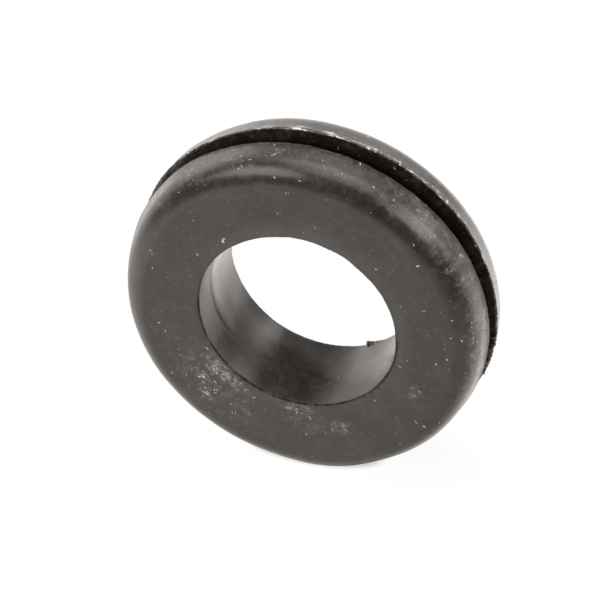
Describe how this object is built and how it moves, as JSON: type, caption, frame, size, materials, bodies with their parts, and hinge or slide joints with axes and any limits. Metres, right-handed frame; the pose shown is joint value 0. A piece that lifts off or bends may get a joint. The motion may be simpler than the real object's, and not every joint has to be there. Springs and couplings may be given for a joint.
{
  "type": "rubber grommet",
  "caption": "Round rubber grommet with a cable bore, two rounded flanges and a narrow groove that holds the edge of a panel hole.",
  "frame": {"origin": "on the bore's axis, in the plane of the lower flange's flat face", "axes": "+Z along the bore's axis, up through the upper flange; X and Y lie in the lower flat face, and the ring is the same all round them"},
  "size_m": [0.029, 0.029, 0.0078],
  "materials": {
    "black_rubber": "matt moulded surface with pale bloom, scuffs and specks"
  },
  "bodies": {
    "root": {"grommet": "black_rubber"}
  },
  "joints": []
}
